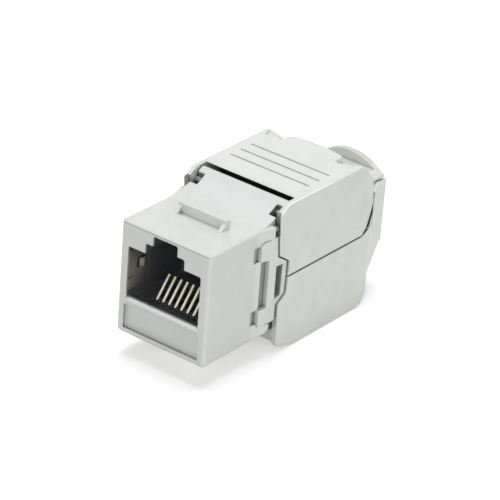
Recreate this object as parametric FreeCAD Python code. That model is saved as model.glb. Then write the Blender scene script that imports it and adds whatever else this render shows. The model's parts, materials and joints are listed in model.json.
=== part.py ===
import FreeCAD, Part
import math
import os
from FreeCAD import Vector

# Shielded keystone jack with two hinged rear doors, in millimetres.
# X runs to the right, Y from the front face to the cable, Z up.
# The origin is the middle of the front face's bottom edge.

# ---- clearances ---------------------------------------------------------------
door_gap = 0.2            # between a moving door and the fixed pieces that it passes
fit_gap = 0.05            # between fixed pieces that slot together
pin_fit = 0.04            # radial running fit on a hinge pin
press_gap = 0.01          # radial, where a pin is pressed in
past = 1.0                # how far a cutting tool runs past the metal

# ---- socket opening -----------------------------------------------------------
port_width = 11.96
port_sill = 5.45
port_height = 7.49
step_width = 6.44
step_rise = 1.43
slot_width = 4.04
slot_rise = 1.43
port_corner = 0.3
port_depth = 10.6
sill_chamfer = 0.4
sill_drop = 0.45          # floor of the socket below its sill
lip_depth = 0.3           # metal edge in front of the moulded collar
lip_wall = 0.35
insert_back_wall = 0.8

# ---- front block --------------------------------------------------------------
block_width = 14.6
front_corner = 0.55
lower_corner = 0.8
upper_corner = 0.25
front_wall = 0.8
side_wall = 0.7
floor_wall = 0.95
roof_wall = 1.0
roof_skin = 0.5           # over the highest step of the socket
flare_width = 16.0
flare_length = 2.8
flare_straight = 0.7
flare_bend = 2.4
flare_corner = 1.9        # rounding along the bottom of the flared part
flank_setback = 0.9       # the flank's end ahead of the joint, over and under a bracket

# ---- recessed panel under the opening -----------------------------------------
panel_width = 12.4
panel_bottom = 1.0
panel_spacing = 0.95      # from the panel's top to the sill
panel_depth = 0.5
panel_taper = 0.15

# ---- lug on the roof ----------------------------------------------------------
lug_width = 7.9
lug_rise = 1.2
lug_front = 7.2
lug_wall = 0.8
lug_scoop = 0.25
gusset_wall = 0.58
gusset_reach = 1.05

# ---- ramp in front of the upper door, placed from the joint --------------------
ramp_width = 14.3
ramp_length = 4.3
ramp_foot_setback = 1.1
ramp_bend = 9.7
ramp_crest_offset = 2.35
ramp_rise = 2.15
ramp_overhang = 3.2
ramp_nose = 0.6
ramp_corner = 0.9
ramp_sink = 0.55
notch_width = 1.19
notch_sink = 1.4

# ---- rear frame and its side brackets, placed from the joint -------------------
bracket_inset = 0.2       # bracket's face inside the flare
bracket_thickness = 0.75
bracket_drop = 1.75       # bracket's top below the roof
bracket_reach = 3.3
lower_tab_setback = 0.3
bracket_neck_reach = 1.45
bracket_rear_offset = 0.45
bulge_offset = 2.32
upper_tab_height = 2.65
lower_tab_top = 4.75
lower_tab_bottom = 2.3
bulge_bottom = 5.6
bulge_shoulder = 1.7      # from the bulge's top to the upper tab
scoop_run = 1.1           # hollow ahead of a tab
neck_scoop_run = 1.4
slot_offset = 0.1
slot_length = 1.4
slot_drop = 0.25
slot_floor_wall = 0.4
frame_depth = 2.0
frame_bottom = 0.4
frame_drop = 0.85
window_half_width = 5.9
window_bottom = 1.9
window_beam = 1.75

# ---- doors --------------------------------------------------------------------
door_proud = 0.125        # door's side outside the flare
door_wall = 0.8
door_plate = 0.9
door_rise = 2.45          # door's top over the roof
door_bottom = -3.0
door_length = 20.6        # from the joint to the doors' rear
door_rear_wall = 0.9
door_edge = 0.25
seam_height = 7.95
seam_gap = 0.15
seam_setback = 2.0
edge_height = 10.4
edge_top = 12.4
edge_crown = 13.4
ear_reach = 1.9
ear_nose_rise = 0.8
ear_foot_reach = 0.83
plate_gap = 0.26
plate_undercut = 1.6
rear_round = 5.8
rear_round_drop = 1.79
rear_round_run = 3.2
rear_edge_inset = 0.1
groove_first = 3.94
groove_pitch = 2.2
groove_count = 3
groove_length = 13.0
groove_width = 0.3
groove_depth = 0.25
tongue_half = 4.45
tongue_setback = 2.25
tongue_corner = 0.8
shoulder_setback = 4.6
shoulder_drop = 0.25
shoulder_rim = 0.4
shoulder_sweep = 2.0      # how much further back the outer end of a shoulder falls away
shoulder_fall = 38.0
lower_ear_reach = 1.7

# ---- hinges, placed from the joint ---------------------------------------------
pin_radius = 0.6
pin_bore_depth = 0.5
upper_hinge_offset = 1.7
upper_hinge_rise = 0.5
lower_hinge_offset = 2.35
lower_hinge_z = -0.9
lower_nose = 1.5
hinge_lug_radius = 1.0
hinge_lug_width = 1.6

# ---- cable collar -------------------------------------------------------------
collar_length = 6.0
collar_height = 8.2
flange_radius = 7.3
flange_thickness = 0.85
flange_half_width = 5.75
flange_shoulder = 0.8
neck_radius = 5.5
cable_radius = 4.1
seam_rise = 4.8           # collar's seam over the cable's centre, at the flange
seam_hump = 0.9           # the seam's highest point over that
seam_hump_run = 3.4       # ahead of the collar's end
tail_lead = 0.6
tail_wall = 0.9
cradle_length = 1.7       # metal under the cable, at the collar's end
tail_gap = 0.45
tail_gap_foot = 1.1
tail_seam_rise = 0.6

# ---- circuit board ------------------------------------------------------------
board_gap = 0.2
board_thickness = 1.0
board_half_width = 6.0
board_bottom = 1.4
board_drop = 0.55
board_hole = 0.4

# ---- socket contacts and their comb -------------------------------------------
contact_count = 8
contact_pitch = 1.02
wire_radius = 0.22
wire_slope = 50.8
wire_front_y = 3.8        # where a wire's sloping part crosses the socket's floor
wire_length_rise = 2.55
wire_bend = 0.9
wire_drop = 2.6
wire_tail = 1.4
slot_clearance = 0.09
slot_rear_y = 8.8
slot_end_depth = 0.5
wire_tail_drop = 0.3
bridge_width = 0.25
comb_front = 1.6
comb_bottom = 1.3
comb_half_width = 5.0

# ---- wire contacts and their block --------------------------------------------
idc_pitch = 3.0
idc_row = [-1.5, -0.5, 0.5, 1.5]
idc_setback = 6.05
idc_width = 1.8
idc_thickness = 0.4
idc_slit = 0.35
idc_slit_depth = 2.0
idc_mouth_depth = 0.6
idc_mouth_half = 0.6
idc_rise = 2.3
idc_foot = 1.5
tail_width = 0.6
tail_pin = 0.2            # half of the square pin that enters the board
core_half_width = 6.4
core_bottom = 4.1
core_top = 11.7
core_length = 6.0
fin_length = 3.5
fin_rise = 1.6
fin_wall = 0.9

# ---- pressers in the doors ----------------------------------------------------
presser_ahead = 2.5
presser_behind = 4.5
presser_half_width = 6.3
presser_air = 0.4
rib_reach = 1.0
rib_width = 1.4
wire_groove = 0.5
blade_ahead = 1.6
blade_behind = 0.7

# ---- shield springs beside the plug -------------------------------------------
shield_thickness = 0.2
shield_front = 0.5
shield_length = 3.9
shield_rise = 1.2         # over the socket's floor
shield_height = 5.8
shield_slit_rise = 1.7
shield_slit = 0.2
shield_slit_length = 1.0
finger_width = 1.5
finger_height = 3.5       # finger's middle over the shield's bottom
finger_length = 2.6
finger_bend = 1.0
finger_root = 0.3
finger_play = 0.15
finger_bulge = 0.35
finger_window = 2.1

# ---- latch under the block ----------------------------------------------------
latch_half_width = 2.9
latch_root_y = 2.7
latch_root_drop = 0.6
latch_root_radius = 0.5
latch_pin_radius = 0.32
latch_ear_wall = 0.8
latch_thickness = 0.7
latch_catch_y = 8.3
latch_catch_length = 1.4
latch_catch_rise = 0.5

# ---- worked out from the above ------------------------------------------------
half_block = block_width / 2
half_flare = flare_width / 2
half_port = port_width / 2
half_step = step_width / 2
half_slot = slot_width / 2
half_ramp = ramp_width / 2
half_door = half_flare + door_proud
cavity_half = half_block - side_wall
door_inner = half_door - door_wall

port_floor = port_sill - sill_drop
port_shoulder = port_sill + port_height
step_top = port_shoulder + step_rise
slot_top = step_top + slot_rise
block_height = slot_top + roof_skin
cavity_top = block_height - roof_wall
ramp_top = block_height + ramp_rise
ramp_under = block_height - ramp_sink
notch_floor = block_height - notch_sink
door_top = block_height + door_rise
plate_under = door_top - door_plate
lower_floor = door_bottom + door_plate
frame_top = block_height - frame_drop
window_top = frame_top - window_beam
board_top = frame_top - board_drop
bracket_top = block_height - bracket_drop
upper_tab_bottom = bracket_top - upper_tab_height
bulge_top = upper_tab_bottom - bulge_shoulder
upper_hinge_z = block_height + upper_hinge_rise

insert_front = front_wall + fit_gap
port_back = insert_front + port_depth
insert_rear = port_back + insert_back_wall
board_front = insert_rear + board_gap
board_rear = board_front + board_thickness
frame_front = board_rear
frame_rear = frame_front + frame_depth
joint = frame_front - fit_gap               # rear end of the front block
flare_end = joint - flare_straight
flare_start = flare_end - flare_length
bracket_face = half_flare - bracket_inset
bracket_floor = bracket_face - bracket_thickness
bracket_front = joint - bracket_reach
bracket_neck = joint - bracket_neck_reach
bracket_rear = joint + bracket_rear_offset
bracket_bulge = joint + bulge_offset
slot_front = joint + slot_offset
slot_rear = slot_front + slot_length
ramp_start = joint - ramp_length
ramp_foot = joint - ramp_foot_setback
ramp_crest = joint + ramp_crest_offset
ramp_rear = joint + ramp_overhang
notch_inner = half_ramp - notch_width
upper_hinge_y = joint + upper_hinge_offset
lower_hinge_y = joint + lower_hinge_offset
ear_nose = upper_hinge_y - ear_reach
ear_foot = upper_hinge_y - ear_foot_reach
lower_ear_front = lower_hinge_y - lower_ear_reach
plate_front = ramp_rear + plate_gap
door_rear = joint + door_length
seam_end = door_rear - seam_setback
tail_start = door_rear - tail_lead
collar_start = door_rear - 0.5 * door_rear_wall
collar_end = door_rear + collar_length
collar_seam = collar_height + seam_rise
flange_front = collar_end - flange_thickness
cradle_front = collar_end - cradle_length
tongue_end = door_rear - tongue_setback
shoulder_front = door_rear - shoulder_setback
door_reach = math.hypot(door_rear - upper_hinge_y, edge_top - upper_hinge_z)
taper = (half_door - flange_half_width) / (collar_end - tail_start)
wire_front_z = port_floor
wire_top_z = port_floor + wire_length_rise
wire_low_z = port_floor - wire_drop
idc_y = frame_rear + idc_setback
core_rear = idc_y + core_length
fin_front = idc_y - fin_length
presser_front = idc_y - presser_ahead
presser_rear = idc_y + presser_behind

PLANES = {
    "x": lambda a, b, level: Vector(level, a, b),
    "y": lambda a, b, level: Vector(a, level, b),
    "z": lambda a, b, level: Vector(a, b, level),
}
DIRECTIONS = {"x": Vector(1, 0, 0), "y": Vector(0, 1, 0), "z": Vector(0, 0, 1)}


# ---- shape helpers ------------------------------------------------------------

def rounded_corner(before, here, after, radius):
    """Start, middle and end of the arc that rounds the corner at here."""
    back = (before - here).normalize()
    ahead = (after - here).normalize()
    half = back.getAngle(ahead) / 2
    reach = radius / math.tan(half)
    centre = here + (back + ahead).normalize() * (radius / math.sin(half))
    middle = centre + (here - centre).normalize() * radius
    return here + back * reach, middle, here + ahead * reach


def outline(axis, points, level):
    """Closed wire on a plane across axis; a third number in a point rounds that corner."""
    place = PLANES[axis]
    spots = [Vector(point[0], point[1], 0) for point in points]
    corners = []
    for index, point in enumerate(points):
        here = spots[index]
        if len(point) > 2:
            after = spots[(index + 1) % len(spots)]
            corners.append(rounded_corner(spots[index - 1], here, after, point[2]))
        else:
            corners.append((here, here, here))
    edges = []
    for index, (start, middle, end) in enumerate(corners):
        start, middle, end = [place(spot.x, spot.y, level) for spot in (start, middle, end)]
        follower = corners[(index + 1) % len(corners)][0]
        follower = place(follower.x, follower.y, level)
        if start.distanceToPoint(end) > 1e-6:
            edges.append(Part.Arc(start, middle, end).toShape())
        if end.distanceToPoint(follower) > 1e-6:
            edges.append(Part.LineSegment(end, follower).toShape())
    return Part.Wire(edges)


def prism(axis, points, low, high):
    """Solid with the given outline between two levels along axis."""
    return Part.Face(outline(axis, points, low)).extrude(DIRECTIONS[axis] * (high - low))


def grown_prism(axis, points, low, high, spread):
    """The same, with the outline grown outwards by spread."""
    face = Part.Face(outline(axis, points, low)).makeOffset2D(spread)
    return face.extrude(DIRECTIONS[axis] * (high - low))


def box(x_range, y_range, z_range):
    """Box between two levels on each axis."""
    size = [high - low for low, high in (x_range, y_range, z_range)]
    return Part.makeBox(*size, Vector(x_range[0], y_range[0], z_range[0]))


def rod(axis, centre, radius, low, high):
    """Cylinder along axis; centre gives the other two coordinates."""
    start = PLANES[axis](centre[0], centre[1], low)
    return Part.makeCylinder(radius, high - low, start, DIRECTIONS[axis])


def both_sides(shape):
    """A shape and its mirror image across the middle plane."""
    return [shape, shape.mirror(Vector(0, 0, 0), DIRECTIONS["x"])]


def joined(shapes):
    """One shape from overlapping or touching shapes."""
    return shapes[0].fuse(shapes[1:]).removeSplitter()


def symmetric(points):
    """Outline from the points of its right half."""
    left = [(-point[0],) + tuple(point[1:]) for point in reversed(points)]
    return list(points) + left


# ---- outlines shared by several pieces ----------------------------------------

def port_outline(sill, spread):
    """Stepped outline of the socket, grown by spread at the sides and shoulders."""
    return symmetric([
        (half_port + spread, sill, port_corner),
        (half_port + spread, port_shoulder + spread, port_corner),
        (half_step + spread, port_shoulder + spread),
        (half_step + spread, step_top + spread, port_corner),
        (half_slot + spread, step_top + spread),
        (half_slot + spread, slot_top, port_corner),
    ])


bracket_outline = [
    (bracket_front + lower_tab_setback, lower_tab_bottom, 0.5),
    (bracket_rear, lower_tab_bottom - 0.15, 0.1),
    (bracket_rear, bulge_bottom - 1.1, 0.5),
    (bracket_bulge - 0.15, bulge_bottom, 0.6),
    (bracket_bulge, bulge_top, 0.25),
    (bracket_rear - 0.15, bulge_top + 1.3, 0.2),
    (bracket_rear - 0.5, bracket_top, 0.15),
    (bracket_front + 0.1, bracket_top, 1.0),
    (bracket_front, upper_tab_bottom + 0.1, 0.15),
    (bracket_neck, upper_tab_bottom - 0.25, 0.1),
    (bracket_neck, lower_tab_top, 0.1),
    (bracket_front + lower_tab_setback, lower_tab_top, 0.15),
]

collar_seam_line = [
    (collar_start, collar_seam + tail_seam_rise),
    (door_rear + tail_gap, collar_seam + tail_seam_rise),
    (collar_end - seam_hump_run, collar_seam + seam_hump),
    (collar_end, collar_seam),
]


def ear_swing():
    """Reach of the upper door's ear nose from the hinge."""
    return math.hypot(upper_hinge_y - ear_nose, ear_nose_rise)


def swing_y(height, reach):
    """Depth of a point at a height and at a distance behind the upper hinge."""
    return upper_hinge_y + math.sqrt(reach ** 2 - (height - upper_hinge_z) ** 2)


# ---- front block --------------------------------------------------------------

def block_body():
    """Outer form of the block, with its flanks flared towards the doors."""
    plan = symmetric([
        (half_block, 0, front_corner),
        (half_block, flare_start, flare_bend),
        (half_flare, flare_end, flare_bend),
        (half_flare, joint),
    ])
    body = prism("z", plan, 0, block_height)
    beside = [edge for edge in body.Edges if abs(edge.CenterOfMass.x) > half_block - 0.1]
    lower = [edge for edge in beside if edge.BoundBox.ZMax < 0.01]
    upper = [edge for edge in beside if edge.BoundBox.ZMin > block_height - 0.01]
    return body.makeFillet(lower_corner, lower).makeFillet(upper_corner, upper)


def ramp_body():
    """Ramp that rises from the roof to the upper door, over the rear frame."""
    profile = [
        (ramp_start, ramp_under),
        (ramp_rear, ramp_under, 0.3),
        (ramp_rear, ramp_top, ramp_nose),
        (ramp_crest, ramp_top, 0.5 * ramp_nose),
        (ramp_foot, block_height, ramp_bend),
        (ramp_start, block_height),
    ]
    plan = symmetric([
        (half_ramp, ramp_start),
        (half_ramp, ramp_rear, ramp_corner),
    ])
    ramp = prism("x", profile, -half_ramp, half_ramp)
    return ramp.common(prism("z", plan, ramp_under, ramp_top))


def lug_body():
    """Upright lug across the roof with a gusset at each end."""
    half = lug_width / 2
    low = block_height - 0.3
    high = block_height + lug_rise
    wall = box((-half, half), (lug_front, lug_front + lug_wall), (low, high))
    gusset = prism("x", [
        (lug_front - gusset_reach, low),
        (lug_front - gusset_reach, block_height),
        (lug_front + 0.5 * lug_wall, high),
        (lug_front + 0.5 * lug_wall, low),
    ], half - gusset_wall, half)
    return joined([wall] + both_sides(gusset))


def pocket_scoop(front, run, low, high):
    """Sloping hollow in a flank, ahead of a bracket's front edge."""
    return prism("z", [
        (half_block + 0.02, front - run),
        (bracket_floor, front - 0.3 * run),
        (bracket_floor, front + fit_gap),
        (half_flare + past, front + fit_gap),
        (half_flare + past, front - run),
    ], low, high)


def flare_corner_cut():
    """What rounds the lower corner of the flared part."""
    centre = (half_flare - flare_corner, flare_corner)
    corner = box((centre[0], half_flare + past), (flare_start, joint + past), (-past, centre[1]))
    return corner.cut(rod("y", centre, flare_corner, flare_start, joint + past))


def flank_cuts():
    """All that is cut from a flank: the bracket's pocket, its hollows, the ear's and the hinge's room."""
    outside = half_flare + past
    end = joint - flank_setback
    return [
        flare_corner_cut(),
        grown_prism("x", bracket_outline, bracket_floor, outside, fit_gap),
        pocket_scoop(bracket_front, scoop_run, upper_tab_bottom, bracket_top - 0.5),
        pocket_scoop(bracket_neck, neck_scoop_run, lower_tab_top - 0.1, upper_tab_bottom),
        pocket_scoop(bracket_front + lower_tab_setback, scoop_run, lower_tab_bottom + 0.4, lower_tab_top),
        box((bracket_floor, outside), (end, joint + past), (bracket_top, ramp_under)),
        box((bracket_floor, outside), (end, joint + past), (-past, lower_tab_bottom)),
        box((notch_inner, outside), (joint - 0.01, upper_hinge_y), (notch_floor, ramp_top + past)),
        rod("x", (upper_hinge_y, upper_hinge_z), ear_swing() + door_gap, half_ramp, outside),
    ]


def latch_ear():
    """Ear under the block that carries one end of the latch's root."""
    inner = latch_half_width + door_gap / 2
    centre = (latch_root_y, -latch_root_drop)
    outer = inner + latch_ear_wall
    radius = latch_root_radius + 0.1
    ear = joined([
        rod("x", centre, radius, inner, outer),
        box((inner, outer), (latch_root_y - radius, latch_root_y + radius), (-latch_root_drop, 0.3)),
    ])
    return ear.cut(rod("x", centre, latch_pin_radius + pin_fit, inner - 1, outer + 1))


def make_front_housing():
    """Cast block: socket opening, recessed panel, lug, ramp, bracket pockets and latch ears."""
    rear = ramp_rear + past
    body = joined([block_body(), ramp_body(), lug_body()])
    cavity = box((-cavity_half, cavity_half), (front_wall, rear), (floor_wall, cavity_top))
    channel = box((-half_slot, half_slot), (front_wall, insert_rear), (step_top - 0.1, slot_top))
    opening = prism("y", port_outline(port_sill, 0), -past, front_wall + 0.1)
    behind_lip = prism("y", port_outline(port_sill, lip_wall), lip_depth, front_wall + 0.1)
    half_scoop = lug_width / 2 - gusset_wall
    scoop = prism("x", [
        (lug_front - gusset_reach, block_height),
        (lug_front, block_height - lug_scoop),
        (lug_front, block_height + lug_scoop),
    ], -half_scoop, half_scoop)
    sill = prism("x", [
        (-0.1, port_sill - sill_chamfer - 0.1),
        (sill_chamfer + 0.1, port_sill + 0.1),
        (-0.1, port_sill + 0.1),
    ], -half_port, half_port)
    deep = panel_taper
    panel_top = port_sill - panel_spacing
    rim = outline("y", [(-panel_width / 2, panel_bottom), (panel_width / 2, panel_bottom),
                        (panel_width / 2, panel_top), (-panel_width / 2, panel_top)], 0)
    floor = outline("y", [(-panel_width / 2 + deep, panel_bottom + deep),
                          (panel_width / 2 - deep, panel_bottom + deep),
                          (panel_width / 2 - deep, panel_top - deep),
                          (-panel_width / 2 + deep, panel_top - deep)], panel_depth)
    panel = Part.makeLoft([rim, floor], True)
    bore = rod("x", (upper_hinge_y, upper_hinge_z), pin_radius + press_gap, -half_flare, half_flare)
    body = body.cut([cavity, channel, opening, behind_lip, sill, scoop, panel, bore])
    for cutter in flank_cuts():
        body = body.cut(both_sides(cutter))
    return joined([body] + both_sides(latch_ear()))


def make_port_insert():
    """Moulded lining of the socket with a collar behind the metal lip, open under the contacts."""
    outer = box((-cavity_half + fit_gap, cavity_half - fit_gap), (insert_front, insert_rear),
                (floor_wall + fit_gap, cavity_top - fit_gap))
    collar = prism("y", port_outline(port_sill + fit_gap, lip_wall - fit_gap),
                   lip_depth + fit_gap, insert_front + 0.1)
    socket = prism("y", port_outline(port_floor, fit_gap), -past, port_back)
    well = box((-comb_half_width - fit_gap, comb_half_width + fit_gap), (comb_front - fit_gap, insert_rear + past),
               (comb_bottom - fit_gap, port_floor + 0.1))
    above = box((-half_port, half_port), (front_wall - fit_gap, insert_rear), (cavity_top - fit_gap, slot_top + past))
    low = port_floor + shield_rise - fit_gap
    spring_slot = box((half_port, half_port + shield_thickness + 2 * fit_gap),
                      (-past, shield_front + shield_length + fit_gap), (low, low + shield_height + 2 * fit_gap))
    return joined([outer, collar]).cut([socket, well, above] + both_sides(spring_slot))


# ---- socket contacts and their comb -------------------------------------------

def contact_x(index):
    """Sideways place of one contact wire."""
    return (index - (contact_count - 1) / 2) * contact_pitch


def wire_y(height):
    """Depth of the sloping part of a wire at a height."""
    return wire_front_y + (height - wire_front_z) / math.tan(math.radians(wire_slope))


def bend_centre():
    """Centre of the wires' front bend, which is also the axis that they flex about."""
    slope = math.radians(wire_slope)
    z = wire_low_z + wire_bend
    return wire_y(z + wire_bend * math.cos(slope)) + wire_bend * math.sin(slope), z


def make_contact(index):
    """Sprung wire: short tail, front bend and the sloping arm that meets the plug."""
    x = contact_x(index)
    y, z = bend_centre()
    turn = math.radians(180 - wire_slope)

    def on_bend(angle):
        return Vector(x, y - wire_bend * math.sin(angle), z - wire_bend * math.cos(angle))

    tail_end = Vector(x, y + wire_tail, wire_low_z)
    path = Part.Wire([
        Part.LineSegment(tail_end, on_bend(0)).toShape(),
        Part.Arc(on_bend(0), on_bend(turn / 2), on_bend(turn)).toShape(),
        Part.LineSegment(on_bend(turn), Vector(x, wire_y(wire_top_z), wire_top_z)).toShape(),
    ])
    section = Part.Wire(Part.makeCircle(wire_radius, tail_end, DIRECTIONS["y"]))
    return path.makePipeShell([section], True, True)


def make_contact_carrier():
    """Comb under the wires: a slot for each, the bar that they bend round and a bridge in front."""
    top = port_floor - fit_gap
    body = box((-comb_half_width, comb_half_width), (comb_front, insert_rear), (comb_bottom, top))
    y, z = bend_centre()
    reach = wire_bend + wire_radius + slot_clearance
    half = wire_radius + slot_clearance
    cutters = []
    for index in range(contact_count):
        x = contact_x(index)
        cutters.append(rod("x", (y, z), reach, x - half, x + half))
        cutters.append(prism("x", [
            (y - reach, z),
            (y, z - reach),
            (y + wire_tail + slot_clearance, z - reach - wire_tail_drop),
            (y + wire_tail + slot_clearance, z),
            (slot_rear_y, top - slot_end_depth),
            (slot_rear_y, top + 1),
            (y - reach, top + 1),
        ], x - half, x + half))
    bar = rod("x", (y, z), wire_bend - wire_radius - fit_gap, -comb_half_width, comb_half_width)
    bridge_rear = wire_y(top - bridge_width) - (wire_radius + slot_clearance) / math.sin(math.radians(wire_slope))
    bridge = box((-comb_half_width, comb_half_width), (bridge_rear - bridge_width, bridge_rear),
                 (top - bridge_width, top))
    return joined([body.cut(cutters), bar, bridge])


def make_ground_spring():
    """Sheet spring on the right wall of the socket, slit at the front and with a bulged finger."""
    x = half_port + fit_gap
    rear = shield_front + shield_length
    low = port_floor + shield_rise
    plate = box((x, x + shield_thickness), (shield_front, rear), (low, low + shield_height))
    slit_low = low + shield_slit_rise
    slit = box((x - past, x + past), (shield_front - past, shield_front + shield_slit_length),
               (slit_low, slit_low + shield_slit))
    middle = low + finger_height
    root = rear - finger_root
    window = box((x - past, x + past), (root - finger_window, root - finger_root),
                 (middle - finger_width / 2, middle + finger_width / 2))
    half = finger_width / 2 - finger_play
    tip = root - finger_length + finger_bend
    bulge = root - finger_bend
    finger = prism("z", [
        (x + shield_thickness, root),
        (x, root),
        (x - finger_bulge, bulge),
        (x - finger_play, tip),
        (x - finger_play + shield_thickness, tip),
        (x - finger_bulge + shield_thickness, bulge),
    ], middle - half, middle + half)
    return joined([plate.cut([slit, window]), finger])


# ---- circuit board and wire contacts ------------------------------------------

def idc_places():
    """Sideways place, tail height and direction of every wire contact."""
    tail_top = core_top - idc_foot
    tail_bottom = core_bottom + idc_foot
    upper = [(step * idc_pitch, tail_top, 1) for step in idc_row]
    lower = [(step * idc_pitch, tail_bottom, -1) for step in idc_row]
    return upper + lower


def make_circuit_board():
    """Upright board between the socket and the wire contacts, with their plated holes."""
    board = box((-board_half_width, board_half_width), (board_front, board_rear), (board_bottom, board_top))
    holes = [rod("y", (x, z), board_hole, board_front - 1, board_rear + 1) for x, z, _ in idc_places()]
    return board.cut(holes)


def make_idc_contact(x, tail_z, way):
    """Forked blade across the wire, with a tail forward into the board."""
    tip = (core_top + idc_rise) if way > 0 else (core_bottom - idc_rise)
    z_range = sorted((tail_z - way * tail_width / 2, tip))
    blade = box((x - idc_width / 2, x + idc_width / 2),
                (idc_y - idc_thickness / 2, idc_y + idc_thickness / 2), z_range)
    mouth = tip - way * idc_mouth_depth
    slit = prism("y", [
        (x - idc_slit / 2, tip - way * idc_slit_depth),
        (x + idc_slit / 2, tip - way * idc_slit_depth),
        (x + idc_slit / 2, mouth),
        (x + idc_mouth_half, tip + way * fit_gap),
        (x - idc_mouth_half, tip + way * fit_gap),
        (x - idc_slit / 2, mouth),
    ], idc_y - idc_thickness, idc_y + idc_thickness)
    half = tail_width / 2
    z_pin = (tail_z - tail_pin, tail_z + tail_pin)
    tail = box((x - tail_pin, x + tail_pin), (board_front - 0.5 * board_gap, idc_y), z_pin)
    foot = box((x - half, x + half), (board_rear + board_gap, idc_y), z_pin)
    return joined([blade.cut(slit), tail, foot])


def make_idc_block():
    """Moulded core behind the board: slots for the blades and fins that part the wires."""
    core = box((-core_half_width, core_half_width), (frame_rear + 0.1, core_rear), (core_bottom, core_top))
    neck = box((-window_half_width + fit_gap, window_half_width - fit_gap),
               (board_rear + fit_gap, frame_rear + 0.2), (window_bottom + fit_gap, window_top - fit_gap))
    fins = []
    for step in range(-2, 3):
        x = step * idc_pitch
        for z_range in ((core_top - 0.1, core_top + fin_rise), (core_bottom - fin_rise, core_bottom + 0.1)):
            fins.append(box((x - fin_wall / 2, x + fin_wall / 2), (fin_front, core_rear), z_range))
    cutters = []
    for x, tail_z, way in idc_places():
        outside = (core_top + past) if way > 0 else (core_bottom - past)
        half = idc_width / 2 + fit_gap
        cutters.append(box((x - half, x + half),
                           (idc_y - idc_thickness / 2 - fit_gap, idc_y + idc_thickness / 2 + fit_gap),
                           sorted((tail_z - way * (tail_width / 2 + fit_gap), outside))))
        half = tail_width / 2 + fit_gap
        cutters.append(box((x - half, x + half), (board_rear - past, idc_y),
                           (tail_z - tail_pin - fit_gap, tail_z + tail_pin + fit_gap)))
    return joined([core, neck] + fins).cut(cutters)


# ---- rear frame ---------------------------------------------------------------

def make_rear_frame():
    """Cast frame behind the block, with a bracket on each side and lugs for the lower door."""
    half = bracket_floor + fit_gap
    ring = box((-half, half), (frame_front, frame_rear), (frame_bottom, frame_top))
    window = box((-window_half_width, window_half_width), (frame_front - 1, frame_rear + 1),
                 (window_bottom, window_top))
    bracket = prism("x", bracket_outline, half, bracket_face)
    slot = prism("x", [
        (slot_front, bulge_bottom - slot_drop, 0.15),
        (slot_rear - 0.1, bulge_bottom - slot_drop + 0.2, 0.15),
        (slot_rear, bulge_top - 0.1, 0.15),
        (slot_front - 0.05, bulge_top, 0.15),
    ], window_half_width + slot_floor_wall, bracket_face + past)
    notch = box((notch_inner, half + past), (frame_front - past, upper_hinge_y), (notch_floor, frame_top + past))
    outer = half - 0.15
    inner = outer - hinge_lug_width
    lug = joined([
        rod("x", (lower_hinge_y, lower_hinge_z), hinge_lug_radius, inner, outer),
        box((inner, outer), (lower_hinge_y - hinge_lug_radius, lower_hinge_y + hinge_lug_radius),
            (lower_hinge_z, frame_bottom + 1)),
    ])
    bore = rod("x", (lower_hinge_y, lower_hinge_z), pin_radius + press_gap, -half, half)
    solids = [ring.cut(window)] + both_sides(bracket) + both_sides(lug)
    return joined(solids).cut([bore] + both_sides(slot) + both_sides(notch))


# ---- doors --------------------------------------------------------------------

def door_pin_bores(y, z):
    """Blind bores in a door's side walls for its hinge pin."""
    return both_sides(rod("x", (y, z), pin_radius + pin_fit, door_inner - 1, door_inner + pin_bore_depth))


def bracket_clearance():
    """Space that a door's side walls leave round the brackets."""
    return both_sides(grown_prism("x", bracket_outline, bracket_floor, half_door + 1, door_gap))


def tail_plan(inset):
    """Plan of the rear of the doors, narrowing to the collar."""
    return symmetric([
        (half_door - inset, -past),
        (half_door - inset, tail_start, 1.5),
        (half_door - inset - taper * (collar_end - tail_start), collar_end),
    ])


def flange_disc():
    """Round collar flange with a flat on each side."""
    reach = flange_radius + past
    disc = rod("y", (0, collar_height), flange_radius, flange_front, collar_end)
    disc = disc.common(box((-flange_half_width, flange_half_width), (flange_front, collar_end),
                           (collar_height - reach, collar_height + reach)))
    corners = [edge for edge in disc.Edges if edge.BoundBox.YLength > 0.9 * flange_thickness
               and edge.CenterOfMass.z > collar_height + past
               and abs(edge.CenterOfMass.x) > flange_half_width - fit_gap]
    return disc.makeFillet(flange_shoulder, corners)


def shoulder_cuts():
    """What falls away beside the door's tongue: a shallow step, then a slope towards the rear corner."""
    high = door_top + past
    outer = half_door - shoulder_rim
    floor = door_top - shoulder_drop
    front = shoulder_front
    step = prism("z", [
        (tongue_half - 1.0, front),
        (outer - 0.6, front - 0.3),
        (outer, front + shoulder_sweep),
        (outer, door_rear + past),
        (tongue_half - 1.0, door_rear + past),
    ], floor, high)
    run = half_door - tongue_half + 2 * past
    across = Vector(run, run * shoulder_sweep / (half_door - tongue_half), 0)
    back = Vector(-across.y, across.x, 0).normalize()
    fall = math.radians(shoulder_fall)
    reach = door_length / 2
    start = Vector(tongue_half, front, floor) - across * (past / run)
    down = start + back * reach - Vector(0, 0, reach * math.tan(fall))
    wall = Part.makePolygon([start, down, down + Vector(0, 0, 2 * reach), start + Vector(0, 0, 2), start])
    slope = Part.Face(wall).extrude(across)
    keep = box((tongue_half - 1.0, half_door + past), (front - past, door_rear + past), (edge_top, high))
    return both_sides(step) + both_sides(slope.common(keep))


def make_tongue():
    """Flat tongue of the upper door between the two shoulders."""
    plan = symmetric([
        (tongue_half, shoulder_front - past),
        (tongue_half, tongue_end - 0.5, tongue_corner),
        (0.4 * tongue_half, tongue_end, 2.0),
    ])
    return prism("z", plan, plate_under - past, door_top)


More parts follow.
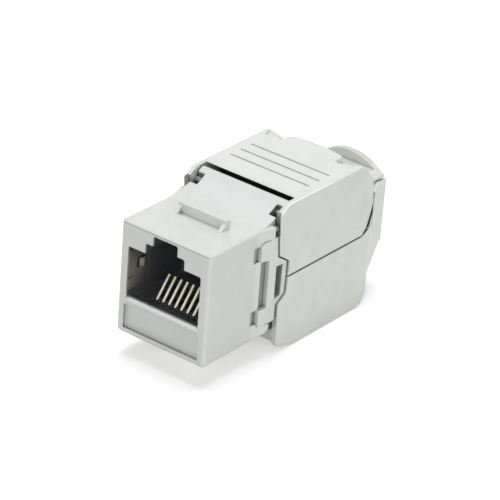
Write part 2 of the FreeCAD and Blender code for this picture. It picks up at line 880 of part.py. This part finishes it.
def make_upper_door():
    """Cast upper door: grooved top, side walls with hinge ears, and the upper arch of the collar."""
    seam = seam_height + seam_gap / 2
    rear = door_rear - rear_edge_inset
    outer = prism("x", [
        (ear_foot, seam),
        (seam_end, seam, 0.3),
        (swing_y(seam + 0.9, door_reach), seam + 0.9, 0.4),
        (swing_y(edge_height, door_reach), edge_height, 0.8),
        (door_rear, edge_top, 0.8),
        (rear, edge_crown, 0.5),
        (rear, door_top - rear_round_drop, rear_round),
        (rear - rear_round_run, door_top, 0.5),
        (plate_front - 2.0, door_top, 1.5),
        (ear_nose, upper_hinge_z + ear_nose_rise, 0.35),
    ], -half_door, half_door)
    edges = [edge for edge in outer.Edges if abs(edge.CenterOfMass.x) > half_door - 0.01
             and edge.CenterOfMass.z > plate_under and edge.Length > 0.5]
    outer = outer.makeFillet(door_edge, edges)
    rear_inner = door_rear - door_rear_wall
    seam_top = collar_seam + tail_seam_rise + seam_gap
    cavity = prism("x", [
        (ear_nose - past, seam - past),
        (door_rear + past, seam - past),
        (door_rear + past, seam_top),
        (rear_inner, seam_top),
        (rear_inner, seam_top + 1.2, 0.8),
        (shoulder_front - 0.5, plate_under, 0.8),
        (ear_nose - past, plate_under),
    ], -door_inner, door_inner)
    front = prism("x", [
        (ear_nose - past, seam),
        (plate_front + plate_undercut, seam),
        (plate_front + plate_undercut, plate_under),
        (plate_front, door_top),
        (plate_front, door_top + past),
        (ear_nose - past, door_top + past),
    ], -door_inner, door_inner)
    shell = joined([outer.cut(shoulder_cuts()), make_tongue()])
    shell = shell.cut([cavity, front] + bracket_clearance() + door_pin_bores(upper_hinge_y, upper_hinge_z))
    grooves = []
    for index in range(groove_count):
        y = plate_front + groove_first + index * groove_pitch
        grooves.append(box((-groove_length / 2, groove_length / 2), (y, y + groove_width),
                           (door_top - groove_depth, door_top + past)))
    return shell.cut(grooves)


def collar_region(lift):
    """Side outline of all that lies above the collar's seam, raised by lift."""
    line = [(y, z + lift) for y, z in collar_seam_line]
    return line + [(collar_end, door_top), (collar_start, door_top)]


def make_upper_collar(door):
    """Neck, side webs, flange arch and the key that closes the collar over the cable, against the door's rear."""
    seam = collar_seam + seam_gap
    start = collar_start
    neck = rod("y", (0, collar_height), neck_radius, start, collar_end)
    webs = prism("x", [
        (start, collar_seam),
        (flange_front + 0.1, collar_seam),
        (flange_front + 0.1, seam + 0.9),
        (start + 2.2, seam + 1.35, 2.5),
        (start, seam + 2.3),
    ], -half_door, half_door)
    waist = symmetric([
        (half_door - 0.7, start),
        (flange_half_width + 0.75, start + 2.4, 2.0),
        (flange_half_width - 0.1, collar_end),
    ])
    webs = webs.common(prism("z", waist, collar_seam, seam + 5))
    above = prism("x", collar_region(seam_gap), -half_door, half_door)
    arch = joined([neck, flange_disc(), webs]).common(above)
    key_half = cable_radius - door_gap
    key = box((-key_half, key_half), (flange_front, collar_end), (collar_height + 1, seam + 0.1))
    cable = rod("y", (0, collar_height), cable_radius, start - past, collar_end + past)
    return joined([arch, key]).cut([cable, door])


def make_lower_door():
    """Cast lower door: floor, side walls with hinge ears, tail walls and the cradle of the collar."""
    seam = seam_height - seam_gap / 2
    behind = door_rear + tail_gap
    outer = prism("x", [
        (lower_hinge_y - lower_nose, lower_hinge_z - lower_nose, lower_nose - 0.01),
        (lower_hinge_y + 0.6, lower_hinge_z - lower_nose, 0.5),
        (lower_hinge_y + 2.0, door_bottom, 0.6),
        (door_rear - 2.2, door_bottom, 1.0),
        (behind, door_bottom + 1.3, 0.6),
        (behind + 0.05, 1.4, 0.5),
        (collar_end, 4.3),
        collar_seam_line[3],
        collar_seam_line[2] + (0.8,),
        (door_rear + tail_gap + 0.1, collar_seam + tail_seam_rise, 0.2),
        (door_rear + tail_gap, edge_top, 0.8),
        (swing_y(edge_height, door_reach) + tail_gap_foot, edge_height, 0.8),
        (swing_y(seam + 0.9, door_reach) + tail_gap_foot, seam + 0.9, 0.4),
        (seam_end, seam, 0.3),
        (lower_ear_front, seam),
    ], -half_door, half_door)
    outer = joined([outer.common(prism("z", tail_plan(0), door_bottom, door_top)),
                    flange_disc().cut(prism("x", collar_region(0), -half_door, half_door))])
    rear_inner = door_rear - door_rear_wall
    cavity = prism("x", [
        (lower_ear_front - 1, lower_floor),
        (rear_inner, lower_floor, 1.6),
        (rear_inner, door_top),
        (lower_ear_front - 1, door_top),
    ], -door_inner, door_inner)
    tail = prism("x", [
        (rear_inner - 0.5, 2.4),
        (cradle_front, 4.9),
        (cradle_front, door_top),
        (rear_inner - 0.5, door_top),
    ], -door_inner, door_inner).common(prism("z", tail_plan(tail_wall), 0, door_top))
    cable = rod("y", (0, collar_height), cable_radius, rear_inner - 1, collar_end + 1)
    mouth = box((-cable_radius, cable_radius), (rear_inner - 1, collar_end + 1), (collar_height, door_top))
    front = box((-door_inner, door_inner), (lower_ear_front - 1, lower_hinge_y + 0.1), (door_bottom - 1, seam + 1))
    return outer.cut([cavity, tail, cable, mouth, front] + bracket_clearance()
                     + door_pin_bores(lower_hinge_y, lower_hinge_z))


def make_presser(way):
    """Block inside a door that pushes the wires into the blades; way is 1 for the upper door."""
    base, fins_tip = (plate_under, core_top + fin_rise) if way > 0 else (lower_floor, core_bottom - fin_rise)
    face = fins_tip + way * presser_air
    tip = fins_tip - way * rib_reach
    body = box((-presser_half_width, presser_half_width), (presser_front, presser_rear), sorted((face, base)))
    ribs = []
    grooves = []
    for step in idc_row:
        x = step * idc_pitch
        half = rib_width / 2
        ribs.append(box((x - half, x + half), (presser_front, presser_rear), sorted((tip, face + way * 0.1))))
        grooves.append(rod("y", (x, tip), wire_groove, presser_front - 1, presser_rear + 1))
    blade_tip = (core_top + idc_rise) if way > 0 else (core_bottom - idc_rise)
    slot = box((-presser_half_width - 1, presser_half_width + 1), (idc_y - blade_ahead, idc_y + blade_behind),
               sorted((tip - way * 1, blade_tip + way * presser_air)))
    return joined([body] + ribs).cut(grooves + [slot])


# ---- pins and latch -----------------------------------------------------------

def make_hinge_pin(y, z):
    """Straight pin through the fixed piece, with an end in each side wall of a door."""
    end = door_inner + pin_bore_depth - fit_gap
    return rod("x", (y, z), pin_radius, -end, end)


def make_panel_latch():
    """Sprung arm under the block: root with two trunnions, sloping blade and catch."""
    low = door_bottom
    high = low + latch_thickness + latch_catch_rise
    end = latch_catch_y + latch_catch_length
    profile = [
        (latch_root_y, -latch_root_drop + 0.35 * latch_root_radius),
        (latch_catch_y, high, 0.4),
        (end, high, 0.2),
        (end, low, 0.2),
        (latch_catch_y, low, 0.3),
        (latch_root_y, -latch_root_drop - 0.7 * latch_root_radius),
    ]
    arm = prism("x", profile, -latch_half_width, latch_half_width)
    centre = (latch_root_y, -latch_root_drop)
    root = rod("x", centre, latch_root_radius, -latch_half_width, latch_half_width)
    end = latch_half_width + door_gap / 2 + latch_ear_wall
    trunnion = rod("x", centre, latch_pin_radius, -end, end)
    return joined([arm, root, trunnion])


# ---- all pieces ---------------------------------------------------------------

def make_pieces():
    """Every piece by name."""
    spring = both_sides(make_ground_spring())
    upper_door = make_upper_door()
    pieces = {
        "front_housing": make_front_housing(),
        "port_insert": make_port_insert(),
        "contact_carrier": make_contact_carrier(),
        "ground_spring_right": spring[0],
        "ground_spring_left": spring[1],
        "circuit_board": make_circuit_board(),
        "idc_block": make_idc_block(),
        "rear_frame": make_rear_frame(),
        "upper_door": upper_door,
        "upper_collar": make_upper_collar(upper_door),
        "lower_door": make_lower_door(),
        "upper_presser": make_presser(1),
        "lower_presser": make_presser(-1),
        "upper_hinge_pin": make_hinge_pin(upper_hinge_y, upper_hinge_z),
        "lower_hinge_pin": make_hinge_pin(lower_hinge_y, lower_hinge_z),
        "panel_latch": make_panel_latch(),
    }
    for index in range(contact_count):
        pieces["contact_" + str(index + 1)] = make_contact(index)
    for index, (x, tail_z, way) in enumerate(idc_places()):
        pieces["wire_contact_" + str(index + 1)] = make_idc_contact(x, tail_z, way)
    return pieces


os.makedirs("parts", exist_ok=True)
for name, shape in make_pieces().items():
    shape.exportStep("parts/" + name + ".step")
    print(name, len(shape.Solids), round(shape.Volume, 2), shape.isValid())
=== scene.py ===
import json
import math
from collections import namedtuple

import bpy
from mathutils import Matrix, Vector


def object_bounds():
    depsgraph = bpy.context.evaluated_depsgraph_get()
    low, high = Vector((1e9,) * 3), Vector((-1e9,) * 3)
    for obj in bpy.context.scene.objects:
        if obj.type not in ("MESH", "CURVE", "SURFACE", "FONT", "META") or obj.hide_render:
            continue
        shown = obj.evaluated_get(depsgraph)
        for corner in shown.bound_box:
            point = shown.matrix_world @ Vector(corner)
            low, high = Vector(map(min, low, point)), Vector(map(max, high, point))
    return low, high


MM = 0.001

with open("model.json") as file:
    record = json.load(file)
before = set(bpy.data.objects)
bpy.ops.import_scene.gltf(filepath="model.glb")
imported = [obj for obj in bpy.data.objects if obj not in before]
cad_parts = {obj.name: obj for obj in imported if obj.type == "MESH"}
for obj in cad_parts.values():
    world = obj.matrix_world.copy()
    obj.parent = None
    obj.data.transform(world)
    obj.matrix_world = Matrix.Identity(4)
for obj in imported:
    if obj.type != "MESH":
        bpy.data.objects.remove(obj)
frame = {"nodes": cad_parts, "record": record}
nodes = frame["nodes"]
cad_low, cad_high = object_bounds()


# ---- camera -------------------------------------------------------------------

SENSOR_WIDTH = 36           # mm, of the camera's film
NEAR, FAR = 0.01, 20        # m, the stretch that the camera sees


def add_camera(azimuth, elevation, roll, place_mm, lens):
    """Camera that looks from an azimuth and elevation in degrees, turned by roll about its axis."""
    a, e, r = math.radians(azimuth), math.radians(elevation), math.radians(roll)
    back = Vector((math.sin(a) * math.cos(e), -math.cos(a) * math.cos(e), math.sin(e)))
    level = Vector((math.cos(a), math.sin(a), 0))
    above = back.cross(level)
    right = level * math.cos(r) + above * math.sin(r)
    up = above * math.cos(r) - level * math.sin(r)
    turn = Matrix((right, up, back)).transposed().to_4x4()
    data = bpy.data.cameras.new("view")
    data.lens, data.sensor_width = lens, SENSOR_WIDTH
    data.clip_start, data.clip_end = NEAR, FAR
    camera = bpy.data.objects.new("view", data)
    camera.matrix_world = Matrix.Translation(Vector(place_mm) * MM) @ turn
    bpy.context.scene.collection.objects.link(camera)
    bpy.context.scene.camera = camera


add_camera(azimuth=36.24, elevation=27.60, roll=4.53, place_mm=(206.83, -264.11, 190.86), lens=216)


# ---- shader helpers -----------------------------------------------------------

MIX_FIRST, MIX_SECOND, MIX_RESULT = 6, 7, 2     # a Mix node's colour sockets, by number


def material(name):
    """A new node material with an empty Principled shader."""
    made = bpy.data.materials.new(name)
    made.use_nodes = True
    return made, made.node_tree.nodes, made.node_tree.links


def calculated(tree, operation, first, second=0.0):
    """Result of one Math node; each operand is a socket or a number."""
    node = tree.nodes.new("ShaderNodeMath")
    node.operation = operation
    for socket, value in zip(node.inputs, (first, second)):
        if isinstance(value, (int, float)):
            socket.default_value = value
        else:
            tree.links.new(value, socket)
    return node.outputs["Value"]


def mapped(tree, value, start, end, first, last):
    """What runs from first to last while the value runs from start to end, and stays level outside."""
    node = tree.nodes.new("ShaderNodeMapRange")
    node.inputs["From Min"].default_value = start
    node.inputs["From Max"].default_value = end
    node.inputs["To Min"].default_value = first
    node.inputs["To Max"].default_value = last
    tree.links.new(value, node.inputs["Value"])
    return node.outputs["Result"]


def blend(tree, amount, first, second):
    """Colour from the first to the second by a 0 to 1 amount; each is a socket or red, green and blue."""
    node = tree.nodes.new("ShaderNodeMix")
    node.data_type = "RGBA"
    tree.links.new(amount, node.inputs["Factor"])
    for place, colour in ((MIX_FIRST, first), (MIX_SECOND, second)):
        if isinstance(colour, tuple):
            node.inputs[place].default_value = (*colour, 1)
        else:
            tree.links.new(colour, node.inputs[place])
    return node.outputs[MIX_RESULT]


def noise(tree, scale_mm, detail, stretch=(1, 1, 1)):
    """Noise in object space; scale_mm is the size of its grains."""
    coords = tree.nodes.new("ShaderNodeTexCoord")
    mapping = tree.nodes.new("ShaderNodeMapping")
    mapping.inputs["Scale"].default_value = stretch
    texture = tree.nodes.new("ShaderNodeTexNoise")
    texture.inputs["Scale"].default_value = 1 / (scale_mm * MM)
    texture.inputs["Detail"].default_value = detail
    tree.links.new(coords.outputs["Object"], mapping.inputs["Vector"])
    tree.links.new(mapping.outputs["Vector"], texture.inputs["Vector"])
    return texture.outputs["Fac"]


NOISE_LOW, NOISE_HIGH = 0.3, 0.7        # noise seldom leaves this stretch


def spread_noise(tree, value, low, high):
    """Noise stretched so that it runs from low to high."""
    return mapped(tree, value, NOISE_LOW, NOISE_HIGH, low, high)


# ---- plain finishes -----------------------------------------------------------

CLOUD_MM = 2.5              # size of the soft clouds in a finish's colour
CLOUD_DETAIL = 3
GRAIN_DETAIL = 4
RELIEF_MM = 0.02            # how deep the grain can be
BEVEL_SAMPLES = 8


def surface(name, dark, pale, metallic, roughness, grain_mm, bump, spread=0.05,
            stretch=(1, 1, 1), round_mm=0.0):
    """Material with cloudy colour, uneven roughness and a fine grain; round_mm softens its edges."""
    made, found, links = material(name)
    tree = made.node_tree
    shader = found["Principled BSDF"]
    shader.inputs["Metallic"].default_value = metallic
    grain = noise(tree, grain_mm, GRAIN_DETAIL, stretch)
    cloud = spread_noise(tree, noise(tree, CLOUD_MM, CLOUD_DETAIL), 0, 1)
    links.new(blend(tree, cloud, dark, pale), shader.inputs["Base Color"])
    links.new(spread_noise(tree, grain, roughness - spread, roughness + spread), shader.inputs["Roughness"])
    relief = found.new("ShaderNodeBump")
    relief.inputs["Strength"].default_value = bump
    relief.inputs["Distance"].default_value = RELIEF_MM * MM
    links.new(grain, relief.inputs["Height"])
    links.new(relief.outputs["Normal"], shader.inputs["Normal"])
    if round_mm:
        rounded = found.new("ShaderNodeBevel")
        rounded.samples = BEVEL_SAMPLES
        rounded.inputs["Radius"].default_value = round_mm * MM
        links.new(rounded.outputs["Normal"], relief.inputs["Normal"])
    return made


def lining():
    """Dark grey plastic of the socket's insert and the contacts' carrier."""
    return surface("dark_lining", (0.085, 0.093, 0.105), (0.12, 0.13, 0.145), metallic=0, roughness=0.5,
                   grain_mm=0.15, bump=0.2, spread=0.08, round_mm=0.08)


def black_moulding():
    """Black plastic of the wire block and the pressers."""
    return surface("black_moulding", (0.03, 0.031, 0.033), (0.045, 0.047, 0.05), metallic=0, roughness=0.45,
                   grain_mm=0.15, bump=0.2, spread=0.08, round_mm=0.08)


def board_mask():
    """Green mask of the circuit board."""
    return surface("board_mask", (0.02, 0.10, 0.05), (0.03, 0.14, 0.07), metallic=0, roughness=0.35,
                   grain_mm=0.2, bump=0.1)


def spring_sheet():
    """Rolled sheet of the shield springs and the panel latch, with its grain drawn out along Y."""
    return surface("spring_sheet", (0.52, 0.51, 0.47), (0.6, 0.59, 0.55), metallic=0.9, roughness=0.36,
                   grain_mm=0.1, bump=0.15, stretch=(1, 0.1, 1), round_mm=0.05)


def pin_steel():
    """Steel of the hinge pins."""
    return surface("pin_steel", (0.36, 0.36, 0.35), (0.44, 0.44, 0.43), metallic=1, roughness=0.3,
                   grain_mm=0.08, bump=0.15)


def gold_plating():
    """Pale gold on the socket's contacts."""
    return surface("gold_plating", (1.0, 0.92, 0.70), (1.0, 0.96, 0.82), metallic=0.9, roughness=0.38,
                   grain_mm=0.1, bump=0.1)


def tin_plating():
    """Tin on the wire contacts."""
    return surface("tin_plating", (0.66, 0.65, 0.62), (0.74, 0.73, 0.70), metallic=1, roughness=0.35,
                   grain_mm=0.1, bump=0.1)


# ---- cast metal ---------------------------------------------------------------

# Painted highlight along edges, from the rounded normal.
EDGE_HIGHLIGHT = (0.97, 0.98, 0.97)
# Painted highlight for the sill and the sides' top edges.
PAINTED_HIGHLIGHT = (0.97, 0.98, 0.98)
# The casting's own colour, laid where the painted crevice shade is to be taken away.
UNSHADED_CAST = (0.76, 0.775, 0.75)
# Darker grey of the recessed panel: partly a duller finish, partly painted shade; also a painted shade line.
RECESS_FINISH_AND_SHADE = (0.46, 0.50, 0.48)
# Painted shade.
SHADED = (0.22, 0.23, 0.21)
# Painted shade in corners and crevices, and for dark lines along the panel and the roof's edge.
CORNER_SHADE = (0.10, 0.10, 0.09)
# Painted shade for deep gaps and notches.
DEEP_SHADE = (0.05, 0.05, 0.05)

CAST_ROUND_MM = 0.13
EDGE_SHARP, EDGE_FLAT = 0.80, 0.985     # cosine between true and rounded normal, on an edge and beside it
EDGE_STRENGTH = 0.95
CREVICE_REACH_MM = 0.9
CREVICE_DEEP, CREVICE_OPEN = 0.15, 0.6  # how unhidden a place is where painted shade is fullest, and where it ends
CREVICE_STRENGTH = 0.85
CREVICE_SAMPLES = 8
STREAK_MM = 0.35
STREAK_DETAIL = 3
STREAK_LEAST = 0.75         # of a patch's strength, where its streaks are faintest

# A place on the casting painted paler or darker than the rest, mostly painted shade, light or highlight:
# a box in mm of the shared frame, as the piece lies at rest. Its ranges are of the distance from the middle
# plane, of Y and of Z; soft is its edge's width.
Patch = namedtuple("Patch", "x y z soft shade strength")
MIDDLE = -1                 # no distance is that small, so the box runs on across the middle plane

# Painted shade in the hinge notch and in the gap under the bracket, shared by two parts.
HINGE_NOTCH = Patch((5.9, 7.31), (13.38, 15.5), (14.8, 17.9), 0.03, DEEP_SHADE, 0.85)
UNDER_BRACKET = Patch((6.9, 7.31), (12.8, 14.4), (-0.6, 2.3), 0.03, DEEP_SHADE, 0.8)
GROOVE_FIRST = 20.77
GROOVE_PITCH = 2.2
GROOVE_WIDTH = 0.36
GROOVE_COUNT = 3


def groove_patch(number):
    """Own colour of the casting in a groove across the upper door, over the painted crevice shade."""
    front = GROOVE_FIRST + number * GROOVE_PITCH
    return Patch((MIDDLE, 6.6), (front, front + GROOVE_WIDTH), (18.4, 18.72), 0.02, UNSHADED_CAST, 0.8)


# Later patches lie over earlier ones.
PATCHES = {
    "front_housing": {
        # Painted shade darkens the front face and the flank; painted light makes the ramp paler and bluish.
        "front face": Patch((MIDDLE, 7.4), (-0.1, 0.12), (-0.1, 16.2), 0.10, (0.64, 0.66, 0.63), 0.6),
        "flank": Patch((7.22, 7.36), (0.4, 9.6), (0.3, 16.0), 0.05, (0.66, 0.68, 0.64), 0.6),
        "ramp": Patch((MIDDLE, 7.2), (9.8, 16.9), (16.2, 18.6), 0.80, (0.75, 0.785, 0.79), 0.7),
        # The panel's floor darker, partly a duller finish, partly painted shade; painted shade on its walls
        # and a strip over it.
        "panel": Patch((MIDDLE, 6.35), (0.30, 0.62), (0.9, 4.6), 0.06, RECESS_FINISH_AND_SHADE, 0.36),
        "upper part of the panel": Patch((MIDDLE, 6.35), (0.30, 0.62), (3.95, 4.6), 0.25, RECESS_FINISH_AND_SHADE, 0.25),
        "lower wall of the panel": Patch((MIDDLE, 6.35), (0.02, 0.36), (0.9, 1.2), 0.05, CORNER_SHADE, 0.75),
        "side walls of the panel": Patch((6.0, 6.35), (0.02, 0.30), (0.9, 4.6), 0.05, CORNER_SHADE, 0.75),
        "strip over the panel": Patch((MIDDLE, 6.0), (-0.1, 0.06), (4.55, 4.98), 0.05, RECESS_FINISH_AND_SHADE, 0.45),
        # Painted highlight on the sill, and a painted shade line under the roof's edge.
        "sill": Patch((MIDDLE, 5.97), (-0.1, 0.50), (5.08, 5.49), 0.03, PAINTED_HIGHLIGHT, 1.0),
        "line under the roof's edge": Patch((MIDDLE, 7.3), (-0.1, 0.16), (16.0, 16.16), 0.03, CORNER_SHADE, 0.5),
        # Painted shade in the pockets around the bracket's tabs.
        "between the bracket's tabs": Patch((6.9, 7.46), (10.4, 12.0), (4.7, 11.9), 0.10, SHADED, 0.7),
        "ahead of the upper tab": Patch((6.9, 7.27), (8.9, 10.2), (11.8, 14.2), 0.10, SHADED, 0.6),
        "ahead of the lower tab": Patch((6.9, 7.27), (9.2, 10.5), (2.6, 4.8), 0.10, SHADED, 0.6),
        # Painted light: a paler, bluish tone over the painted crevice shade in the lug's scoop.
        "scoop of the lug": Patch((MIDDLE, 3.37), (6.1, 7.3), (15.9, 17.35), 0.10, (0.74, 0.77, 0.78), 0.6),
        # Painted shade in the hinge gap at the flare's end, in the hinge notch and under the bracket.
        "flare's end by the ear": Patch((7.2, 8.1), (12.5, 13.42), (15.5, 16.5), 0.03, DEEP_SHADE, 0.9),
        "hinge notch": HINGE_NOTCH,
        "under the bracket": UNDER_BRACKET,
    },
    "rear_frame": {
        # Painted shade in the bracket's slot, the hinge notch and under the bracket.
        "bracket's slot": Patch((5.0, 7.62), (13.4, 15.0), (5.2, 10.3), 0.10, (0.30, 0.31, 0.29), 0.9),
        "hinge notch": HINGE_NOTCH,
        "under the bracket": UNDER_BRACKET,
    },
    "upper_door": {
        # Painted light on the top, painted shade on the ear's front, painted highlights along the sides' top
        # edges.
        "top": Patch((MIDDLE, 7.8), (17.3, 31.5), (18.6, 19.0), 0.30, (0.84, 0.86, 0.84), 0.8),
        "ear's front": Patch((7.2, 8.0), (12.7, 13.62), (14.62, 18.1), 0.03, DEEP_SHADE, 0.85),
        "side's front edge": Patch((7.87, 8.09), (13.4, 24.0), (16.9, 18.8), 0.03, PAINTED_HIGHLIGHT, 0.9),
        "side's rear edge": Patch((7.87, 8.09), (24.0, 30.0), (18.3, 18.8), 0.03, PAINTED_HIGHLIGHT, 0.3),
        # The casting's own colour over the painted crevice shade at the plate's front edge and in the
        # grooves; painted shade on the shoulders.
        "plate's front edge": Patch((MIDDLE, 7.25), (16.7, 18.6), (16.9, 18.5), 0.05, UNSHADED_CAST, 0.85),
        "shoulders": Patch((4.6, 7.6), (29.6, 34.0), (14.5, 18.42), 0.10, (0.42, 0.44, 0.42), 0.5),
        **{"groove %d" % (number + 1): groove_patch(number) for number in range(GROOVE_COUNT)},
    },
    "upper_collar": {
        # Painted shade on the flange's front face and on its rim.
        "flange's front": Patch((MIDDLE, 1.6), (38.9, 39.2), (13.7, 14.8), 0.30, (0.38, 0.39, 0.36), 0.6),
        "flange's rim": Patch((MIDDLE, 3.6), (39.22, 40.1), (14.2, 15.7), 0.15, (0.52, 0.53, 0.50), 0.5),
    },
    "lower_door": {
        # Painted shade in the gap along the tail and at its foot; the casting's own colour on the underside,
        # over the painted crevice shade where it sits on the floor.
        "gap along the tail": Patch((6.0, 7.74), (33.2, 34.75), (8.2, 13.5), 0.02, DEEP_SHADE, 1.0),
        "foot of that gap": Patch((6.0, 8.07), (31.0, 33.35), (8.05, 10.6), 0.02, DEEP_SHADE, 1.0),
        "underside": Patch((MIDDLE, 9), (12, 36), (-3.1, -2.85), 0.03, UNSHADED_CAST, 1.0),
    },
}


def painted_edge_highlights(tree, rounded, colour):
    """Colour with a painted highlight along edges. The painted crevice shade covers the inner ones."""
    shape = tree.nodes.new("ShaderNodeNewGeometry")
    match = tree.nodes.new("ShaderNodeVectorMath")
    match.operation = "DOT_PRODUCT"
    tree.links.new(rounded, match.inputs[0])
    tree.links.new(shape.outputs["Normal"], match.inputs[1])
    amount = mapped(tree, match.outputs["Value"], EDGE_SHARP, EDGE_FLAT, EDGE_STRENGTH, 0)
    return blend(tree, amount, colour, EDGE_HIGHLIGHT)


def painted_crevice_shade(tree, colour):
    """Colour with painted shade in corners and crevices."""
    nearby = tree.nodes.new("ShaderNodeAmbientOcclusion")
    nearby.samples = CREVICE_SAMPLES
    nearby.inputs["Distance"].default_value = CREVICE_REACH_MM * MM
    amount = mapped(tree, nearby.outputs["AO"], CREVICE_DEEP, CREVICE_OPEN, CREVICE_STRENGTH, 0)
    return blend(tree, amount, colour, CORNER_SHADE)


def in_patch(tree, patch):
    """1 inside a patch's box in object space and 0 outside, mirrored across the middle plane."""
    coords = tree.nodes.new("ShaderNodeTexCoord")
    apart = tree.nodes.new("ShaderNodeSeparateXYZ")
    tree.links.new(coords.outputs["Object"], apart.inputs["Vector"])
    distance = calculated(tree, "ABSOLUTE", apart.outputs["X"])
    total = None
    for value, (low, high) in (
        (distance, patch.x),
        (apart.outputs["Y"], patch.y),
        (apart.outputs["Z"], patch.z),
    ):
        middle, half = (low + high) / 2 * MM, (high - low) / 2 * MM
        away = calculated(tree, "ABSOLUTE", calculated(tree, "SUBTRACT", value, middle))
        inside = mapped(tree, away, half - patch.soft * MM, half, 1, 0)
        total = inside if total is None else calculated(tree, "MULTIPLY", total, inside)
    return total


def with_patches(tree, colour, patches):
    """Colour with the patches over it: painted shade and light, and own colour that takes painted shade away.
    """
    streaks = spread_noise(tree, noise(tree, STREAK_MM, STREAK_DETAIL), STREAK_LEAST, 1)
    for patch in patches.values():
        amount = calculated(tree, "MULTIPLY", in_patch(tree, patch), streaks)
        amount = calculated(tree, "MULTIPLY", amount, patch.strength)
        colour = blend(tree, amount, colour, patch.shade)
    return colour


def cast_metal(name, patches):
    """Satin nickel on cast zinc, with painted edge highlights, painted crevice shade and one node's patches.
    """
    made = surface(name, (0.72, 0.74, 0.70), (0.765, 0.785, 0.745), metallic=0.35, roughness=0.42,
                   grain_mm=0.12, bump=0.25, round_mm=CAST_ROUND_MM)
    tree = made.node_tree
    base = tree.nodes["Principled BSDF"].inputs["Base Color"]
    colour = painted_edge_highlights(tree, tree.nodes["Bevel"].outputs["Normal"], base.links[0].from_socket)
    tree.links.new(with_patches(tree, painted_crevice_shade(tree, colour), patches), base)
    return made


FINISHES = {
    "dark_plastic": lining(),
    "black_plastic": black_moulding(),
    "board": board_mask(),
    "spring_sheet": spring_sheet(),
    "pin_steel": pin_steel(),
    "gold_contact": gold_plating(),
    "tinned_contact": tin_plating(),
}
for part in frame["record"]["subparts"]:
    mesh = nodes[part["node"]].data
    mesh.materials.clear()
    if part["material_slot"] == "cast_shell":
        mesh.materials.append(cast_metal("cast_" + part["node"], PATCHES[part["node"]]))
    else:
        mesh.materials.append(FINISHES[part["material_slot"]])


# ---- floor and light ----------------------------------------------------------

FLOOR_HALF = 2.0            # m
FLOOR_COLOUR = 0.8
FLOOR_GLOW = 0.45           # keeps the floor white in the picture
FLOOR_BOUNCE = 0.45         # how pale it is to the light that it throws back on the object
WORLD_LIGHT = 0.16
LAMP_SIZE_MM = 260
AIM_MM = (0, 18, 6)         # about the middle of the object


def seen_directly(tree):
    """1 for rays from the camera and for mirror-like or transmitted ones, else 0."""
    path = tree.nodes.new("ShaderNodeLightPath")
    total = path.outputs["Is Camera Ray"]
    for name in ("Is Glossy Ray", "Is Transmission Ray"):
        total = calculated(tree, "MAXIMUM", total, path.outputs[name])
    return total


def add_floor():
    """Pale floor that stays white where it is lit, keeps the object's shadow and is clear from below."""
    level = cad_low.z
    mesh = bpy.data.meshes.new("floor")
    corners = [(x * FLOOR_HALF, y * FLOOR_HALF, level) for x, y in ((-1, -1), (1, -1), (1, 1), (-1, 1))]
    mesh.from_pydata(corners, [], [(0, 1, 2, 3)])
    floor = bpy.data.objects.new("floor", mesh)
    bpy.context.scene.collection.objects.link(floor)
    made, found, links = material("pale_floor")
    paint = found["Principled BSDF"]
    paint.inputs["Base Color"].default_value = (FLOOR_COLOUR, FLOOR_COLOUR, FLOOR_COLOUR, 1)
    paint.inputs["Roughness"].default_value = 0.9
    paint.inputs["Specular IOR Level"].default_value = 0
    glow = found.new("ShaderNodeEmission")
    glow.inputs["Strength"].default_value = FLOOR_GLOW
    both = found.new("ShaderNodeAddShader")
    links.new(paint.outputs["BSDF"], both.inputs[0])
    links.new(glow.outputs["Emission"], both.inputs[1])
    bounce = found.new("ShaderNodeBsdfDiffuse")
    bounce.inputs["Color"].default_value = (FLOOR_BOUNCE, FLOOR_BOUNCE, FLOOR_BOUNCE, 1)
    pick = found.new("ShaderNodeMixShader")
    links.new(seen_directly(made.node_tree), pick.inputs["Fac"])
    links.new(bounce.outputs["BSDF"], pick.inputs[1])
    links.new(both.outputs["Shader"], pick.inputs[2])
    side = found.new("ShaderNodeNewGeometry")
    clear = found.new("ShaderNodeBsdfTransparent")
    shown = found.new("ShaderNodeMixShader")
    links.new(side.outputs["Backfacing"], shown.inputs["Fac"])
    links.new(pick.outputs["Shader"], shown.inputs[1])
    links.new(clear.outputs["BSDF"], shown.inputs[2])
    links.new(shown.outputs["Shader"], found["Material Output"].inputs["Surface"])
    mesh.materials.append(made)


def add_world(level):
    """White surroundings for the camera and reflections, and a softer level as light."""
    world = bpy.data.worlds.new("studio")
    world.use_nodes = True
    tree = world.node_tree
    lit = tree.nodes["Background"]
    lit.inputs["Color"].default_value = (1, 1, 1, 1)
    lit.inputs["Strength"].default_value = level
    white = tree.nodes.new("ShaderNodeBackground")
    white.inputs["Color"].default_value = (1, 1, 1, 1)
    white.inputs["Strength"].default_value = 1
    pick = tree.nodes.new("ShaderNodeMixShader")
    tree.links.new(seen_directly(tree), pick.inputs["Fac"])
    tree.links.new(lit.outputs["Background"], pick.inputs[1])
    tree.links.new(white.outputs["Background"], pick.inputs[2])
    tree.links.new(pick.outputs["Shader"], tree.nodes["World Output"].inputs["Surface"])
    bpy.context.scene.world = world


def add_lamp(name, place_mm, power):
    """Square soft lamp aimed at the object; it leaves no mirror image."""
    data = bpy.data.lights.new(name, "AREA")
    data.size = LAMP_SIZE_MM * MM
    data.energy = power
    lamp = bpy.data.objects.new(name, data)
    lamp.location = Vector(place_mm) * MM
    lamp.rotation_mode = "QUATERNION"
    lamp.rotation_quaternion = (Vector(AIM_MM) - Vector(place_mm)).to_track_quat("-Z", "Y")
    lamp.visible_glossy = False
    bpy.context.scene.collection.objects.link(lamp)


add_floor()
add_world(WORLD_LIGHT)
add_lamp("key", (-40, 60, 420), 1.36)
add_lamp("fill", (320, -60, 120), 0.315)
add_lamp("front", (120, -400, 150), 0.45)

bpy.context.scene.view_settings.view_transform = "Standard"
